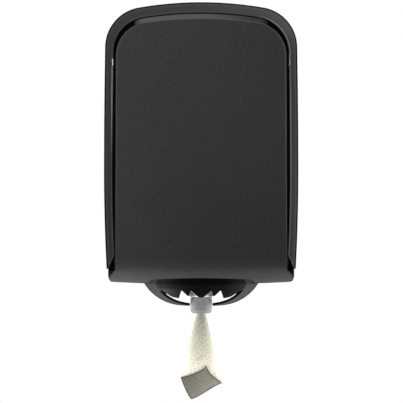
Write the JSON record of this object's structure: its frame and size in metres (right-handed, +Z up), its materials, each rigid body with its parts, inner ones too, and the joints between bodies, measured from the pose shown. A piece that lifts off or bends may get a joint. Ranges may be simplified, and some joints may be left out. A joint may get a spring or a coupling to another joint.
{
  "type": "centrefeed roll dispenser",
  "caption": "Wall dispenser for a centrefeed paper roll, with a hinged cover, side latches, an outlet bowl, a toothed tear plate and a swivelling nozzle.",
  "frame": {"origin": "on the wall plane, at the centre of the four wall screw holes", "axes": "+X to the right seen from the front, +Y into the wall, +Z up"},
  "size_m": [0.2496, 0.225, 0.5118],
  "materials": {
    "housing_dark": "moulded, satin",
    "rim_satin": "satin",
    "panel_matte": "fine matte grain",
    "cover_gloss": "high gloss",
    "bowl_grey": "satin",
    "tear_black": "polished",
    "funnel_dark": "satin",
    "nozzle_grey": "satin",
    "inner_grey": "moulded",
    "latch_pale": "moulded",
    "steel": "zinc plated",
    "spring_steel": "plain",
    "paper": "soft embossed paper"
  },
  "bodies": {
    "housing": {"rear_housing": "housing_dark", "frame_rim": "rim_satin", "hinge_pin_left": "steel", "hinge_pin_right": "steel", "roll_shelf": "inner_grey", "shelf_screws": "steel", "outlet_bowl": "bowl_grey", "tear_plate": "tear_black", "bowl_screws": "steel", "nozzle_retainer": "inner_grey", "retainer_screws": "steel", "latch_pin_left": "steel", "latch_pin_right": "steel", "latch_spring_left": "spring_steel", "latch_spring_right": "spring_steel", "paper_roll": "paper", "paper_tail": "paper"},
    "cover": {"cover_shell": "cover_gloss", "front_panel": "panel_matte"},
    "nozzle": {"nozzle_funnel": "funnel_dark", "nozzle_tip": "nozzle_grey"},
    "latch_left": {"latch_lever_left": "latch_pale"},
    "latch_right": {"latch_lever_right": "latch_pale"}
  },
  "joints": [
    {"name": "cover_hinge", "type": "hinge", "parent": "housing", "child": "cover", "pos_m": [0, -0.014, -0.1815], "axis": [1, 0, 0], "range_deg": [0, 90]},
    {"name": "nozzle_swivel", "type": "hinge", "parent": "housing", "child": "nozzle", "pos_m": [0, -0.11, -0.19], "axis": [0, 0, 1], "continuous": true},
    {"name": "latch_left_pivot", "type": "hinge", "parent": "housing", "child": "latch_left", "pos_m": [-0.1164, -0.096, 0.0925], "axis": [0, 0, -1], "range_deg": [0, 3], "stiffness_Nm_per_rad": 0.3, "springref_deg": -2.86, "deforming": ["latch_spring_left"]},
    {"name": "latch_right_pivot", "type": "hinge", "parent": "housing", "child": "latch_right", "pos_m": [0.1164, -0.096, 0.0925], "axis": [0, 0, 1], "range_deg": [0, 3], "stiffness_Nm_per_rad": 0.3, "springref_deg": -2.86, "deforming": ["latch_spring_right"]}
  ]
}
